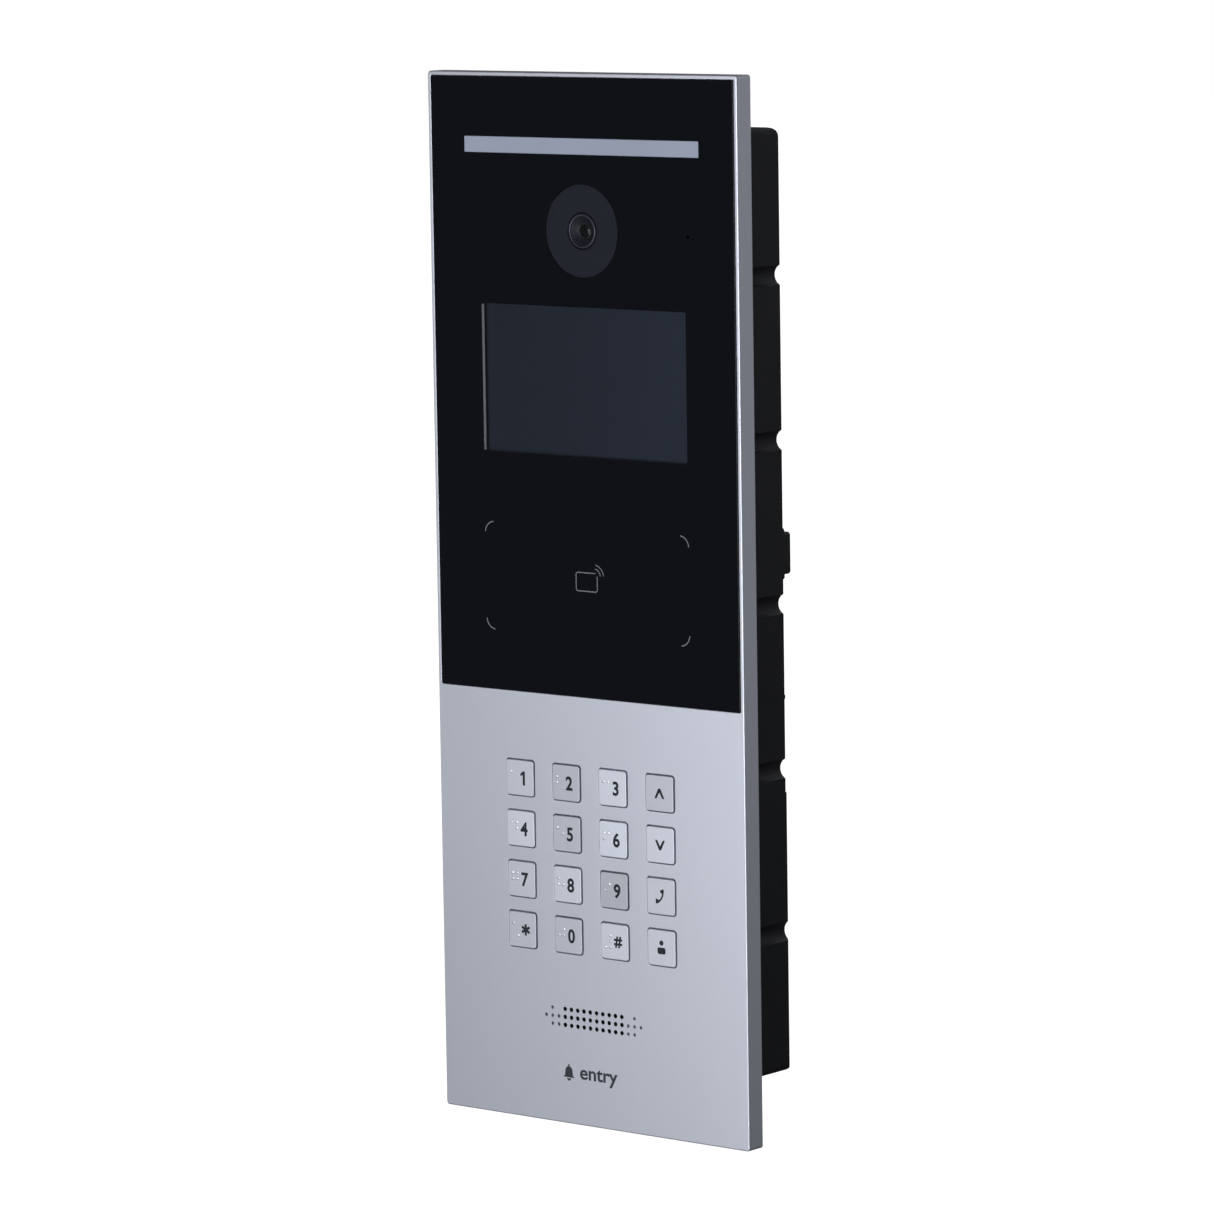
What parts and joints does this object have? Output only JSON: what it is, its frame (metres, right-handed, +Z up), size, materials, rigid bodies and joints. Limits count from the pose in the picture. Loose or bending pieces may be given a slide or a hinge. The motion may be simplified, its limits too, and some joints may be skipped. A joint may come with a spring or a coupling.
{
  "type": "door intercom panel",
  "caption": "Flush-mounted video door station: brushed aluminium panel with black glass, screen, camera window, light bar, metal keypad and speaker holes, and a black rear housing.",
  "frame": {"origin": "on the wall's surface, on the panel's vertical centreline at half its height: the point where the station is set into the wall", "axes": "+Z up along the panel's length, +Y into the wall, +X to the right as a visitor facing the panel sees it"},
  "size_m": [0.148, 0.0467, 0.3994],
  "materials": {
    "brushed_aluminium": "fine horizontal brush, satin anodised",
    "key_metal": "satin brushed, dark filled legends",
    "black_glass": "polished glass printed black on its back, with clear windows",
    "lens_glass": "polished coated lens",
    "lcd_glass": "polariser of a switched-off screen",
    "diffuser": "milky satin",
    "black_plastic": "fine moulded texture",
    "dark_plastic": "satin moulded",
    "rubber": "matt",
    "mat_silicone": "matt silicone",
    "foam": "closed-cell foam",
    "circuit_board": "solder mask",
    "plain_aluminium": "as extruded",
    "steel": "zinc-plated sheet",
    "screw_steel": "zinc-plated",
    "speaker_cloth": "acoustic cloth",
    "speaker_paper": "treated paper",
    "terminal_green": "moulded"
  },
  "bodies": {
    "station": {"front_frame": "brushed_aluminium", "cover_glass": "black_glass", "glass_adhesive": "foam", "wall_gasket": "foam", "light_diffuser": "diffuser", "light_board": "circuit_board", "camera_shroud": "black_plastic", "camera_lens": "dark_plastic", "lens_element": "lens_glass", "camera_board": "circuit_board", "lcd_bezel": "steel", "lcd_screen": "lcd_glass", "card_antenna": "circuit_board", "mic_boot": "rubber", "microphone": "steel", "main_board": "circuit_board", "heat_spreader": "plain_aluminium", "keypad_mat": "mat_silicone", "keypad_board": "circuit_board", "keypad_plate": "steel", "speaker_mesh": "speaker_cloth", "speaker_frame": "dark_plastic", "speaker_cone": "speaker_paper", "rear_housing": "black_plastic", "network_socket": "steel", "terminal_power": "terminal_green", "terminal_bus": "terminal_green", "connector_board": "circuit_board", "tamper_housing": "black_plastic", "housing_screw_1": "screw_steel", "housing_screw_2": "screw_steel", "housing_screw_3": "screw_steel", "housing_screw_4": "screw_steel", "housing_screw_5": "screw_steel", "housing_screw_6": "screw_steel", "panel_screw_left": "screw_steel", "panel_screw_right": "screw_steel", "top_hook_left": "steel", "top_hook_right": "steel"},
    "key_1": {"key_1": "key_metal"},
    "key_2": {"key_2": "key_metal"},
    "key_3": {"key_3": "key_metal"},
    "key_up": {"key_up": "key_metal"},
    "key_4": {"key_4": "key_metal"},
    "key_5": {"key_5": "key_metal"},
    "key_6": {"key_6": "key_metal"},
    "key_down": {"key_down": "key_metal"},
    "key_7": {"key_7": "key_metal"},
    "key_8": {"key_8": "key_metal"},
    "key_9": {"key_9": "key_metal"},
    "key_call": {"key_call": "key_metal"},
    "key_star": {"key_star": "key_metal"},
    "key_0": {"key_0": "key_metal"},
    "key_hash": {"key_hash": "key_metal"},
    "key_concierge": {"key_concierge": "key_metal"},
    "tamper_plunger": {"tamper_plunger": "dark_plastic"}
  },
  "joints": [
    {"name": "press_1", "type": "slide", "parent": "station", "child": "key_1", "axis": [0, 1, 0], "range_m": [0, 0.001], "stiffness_N_per_m": 600},
    {"name": "press_2", "type": "slide", "parent": "station", "child": "key_2", "axis": [0, 1, 0], "range_m": [0, 0.001], "stiffness_N_per_m": 600},
    {"name": "press_3", "type": "slide", "parent": "station", "child": "key_3", "axis": [0, 1, 0], "range_m": [0, 0.001], "stiffness_N_per_m": 600},
    {"name": "press_up", "type": "slide", "parent": "station", "child": "key_up", "axis": [0, 1, 0], "range_m": [0, 0.001], "stiffness_N_per_m": 600},
    {"name": "press_4", "type": "slide", "parent": "station", "child": "key_4", "axis": [0, 1, 0], "range_m": [0, 0.001], "stiffness_N_per_m": 600},
    {"name": "press_5", "type": "slide", "parent": "station", "child": "key_5", "axis": [0, 1, 0], "range_m": [0, 0.001], "stiffness_N_per_m": 600},
    {"name": "press_6", "type": "slide", "parent": "station", "child": "key_6", "axis": [0, 1, 0], "range_m": [0, 0.001], "stiffness_N_per_m": 600},
    {"name": "press_down", "type": "slide", "parent": "station", "child": "key_down", "axis": [0, 1, 0], "range_m": [0, 0.001], "stiffness_N_per_m": 600},
    {"name": "press_7", "type": "slide", "parent": "station", "child": "key_7", "axis": [0, 1, 0], "range_m": [0, 0.001], "stiffness_N_per_m": 600},
    {"name": "press_8", "type": "slide", "parent": "station", "child": "key_8", "axis": [0, 1, 0], "range_m": [0, 0.001], "stiffness_N_per_m": 600},
    {"name": "press_9", "type": "slide", "parent": "station", "child": "key_9", "axis": [0, 1, 0], "range_m": [0, 0.001], "stiffness_N_per_m": 600},
    {"name": "press_call", "type": "slide", "parent": "station", "child": "key_call", "axis": [0, 1, 0], "range_m": [0, 0.001], "stiffness_N_per_m": 600},
    {"name": "press_star", "type": "slide", "parent": "station", "child": "key_star", "axis": [0, 1, 0], "range_m": [0, 0.001], "stiffness_N_per_m": 600},
    {"name": "press_0", "type": "slide", "parent": "station", "child": "key_0", "axis": [0, 1, 0], "range_m": [0, 0.001], "stiffness_N_per_m": 600},
    {"name": "press_hash", "type": "slide", "parent": "station", "child": "key_hash", "axis": [0, 1, 0], "range_m": [0, 0.001], "stiffness_N_per_m": 600},
    {"name": "press_concierge", "type": "slide", "parent": "station", "child": "key_concierge", "axis": [0, 1, 0], "range_m": [0, 0.001], "stiffness_N_per_m": 600},
    {"name": "tamper_press", "type": "slide", "parent": "station", "child": "tamper_plunger", "axis": [0, -1, 0], "range_m": [0, 0.002], "stiffness_N_per_m": 300}
  ]
}
